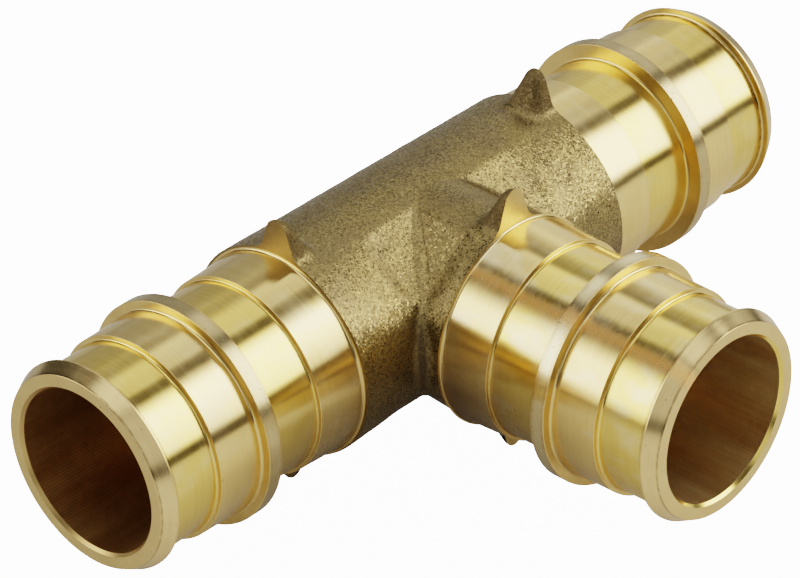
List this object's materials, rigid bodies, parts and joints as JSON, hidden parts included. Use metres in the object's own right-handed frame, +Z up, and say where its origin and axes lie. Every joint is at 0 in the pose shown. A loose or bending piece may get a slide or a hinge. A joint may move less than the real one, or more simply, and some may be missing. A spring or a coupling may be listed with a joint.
{
  "type": "cold-expansion pipe tee",
  "caption": "Forged and turned brass tee with ribbed insert spigots, square shoulders and stop lugs, joining expanded plastic water pipes in a run and a branch.",
  "frame": {"origin": "where the run axis and the branch axis cross, in the middle of the forged body", "axes": "+X along the run axis towards the right spigot's mouth, -Y along the branch axis out of the branch mouth, +Z up through the top lugs"},
  "size_m": [0.0798, 0.0454, 0.0266],
  "materials": {
    "forged_brass": "rough, shot-blasted forging skin",
    "turned_brass": "satin, as turned, with fine lines round the axis"
  },
  "bodies": {
    "root": {"forged_body": "forged_brass", "left_spigot": "turned_brass", "right_spigot": "turned_brass", "branch_spigot": "turned_brass"}
  },
  "joints": []
}
